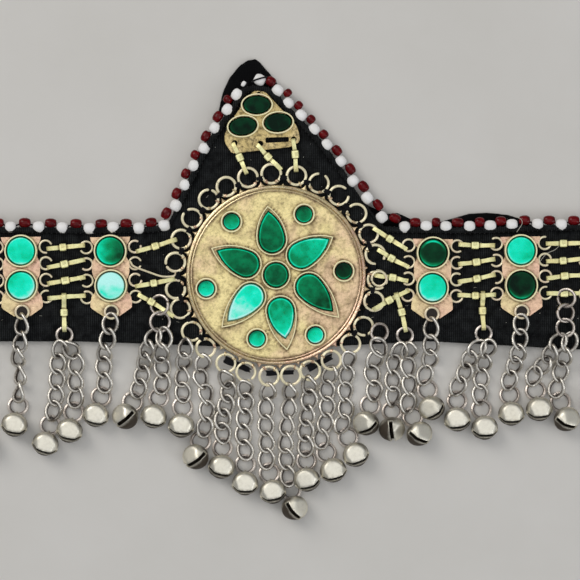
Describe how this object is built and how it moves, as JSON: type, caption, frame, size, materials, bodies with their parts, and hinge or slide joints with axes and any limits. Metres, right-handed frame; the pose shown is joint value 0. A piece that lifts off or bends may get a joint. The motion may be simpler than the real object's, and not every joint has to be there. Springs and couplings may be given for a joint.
{
  "type": "head chain",
  "caption": "Cloth headband with a pointed peak, a large ringed medallion, stone-set plaques joined by strip links, beaded edging, and a fringe of chains with small bells.",
  "frame": {"origin": "on the surface that the cloth's back rests on, under the medallion's centre", "axes": "+X along the band to the wearer's left, +Y to the peak, +Z out of the face of the ornament"},
  "size_m": [0.24, 0.1389, 0.008],
  "materials": {
    "black_cloth": "ribbed cotton",
    "strap_cloth": "matte cotton tape",
    "seed_beads": "glossy opaque and transparent glass",
    "foil_glass": "polished glass over foil",
    "brass": "aged with dark patina",
    "plaque_brass": "aged, slightly coppery",
    "link_brass": "folded strip, worn",
    "chain_metal": "silver-toned, tarnished between the links",
    "bell_nickel": "soft polished plating"
  },
  "bodies": {
    "root": {"cloth_backing": "black_cloth", "tie_strap": "strap_cloth", "medallion": "brass", "centre_stone": "foil_glass", "petal_stones": "foil_glass", "round_stones": "foil_glass", "peak_plaque": "brass", "peak_stones": "foil_glass", "peak_links": "link_brass", "plaque_stones_left": "foil_glass", "plaque_stones_right": "foil_glass", "strip_links_left": "link_brass", "strip_links_right": "link_brass", "hanging_links": "link_brass", "jump_rings": "chain_metal", "chains_left": "chain_metal", "chains_middle": "chain_metal", "chains_right": "chain_metal", "beads_left_band": "seed_beads", "beads_peak_left": "seed_beads", "beads_peak_right": "seed_beads", "beads_right_band": "seed_beads", "plaque_1": "plaque_brass", "plaque_2": "plaque_brass", "plaque_3": "plaque_brass", "plaque_4": "plaque_brass", "plaque_5": "plaque_brass", "plaque_6": "plaque_brass", "bell_01": "bell_nickel", "bell_02": "bell_nickel", "bell_03": "bell_nickel", "bell_04": "bell_nickel", "bell_05": "bell_nickel", "bell_06": "bell_nickel", "bell_07": "bell_nickel", "bell_08": "bell_nickel", "bell_09": "bell_nickel", "bell_10": "bell_nickel", "bell_11": "bell_nickel", "bell_12": "bell_nickel", "bell_13": "bell_nickel", "bell_14": "bell_nickel", "bell_15": "bell_nickel", "bell_16": "bell_nickel", "bell_17": "bell_nickel", "bell_18": "bell_nickel", "bell_19": "bell_nickel", "bell_20": "bell_nickel", "bell_21": "bell_nickel", "bell_22": "bell_nickel", "bell_23": "bell_nickel", "bell_24": "bell_nickel", "bell_25": "bell_nickel", "bell_26": "bell_nickel", "bell_27": "bell_nickel", "bell_28": "bell_nickel"}
  },
  "joints": []
}
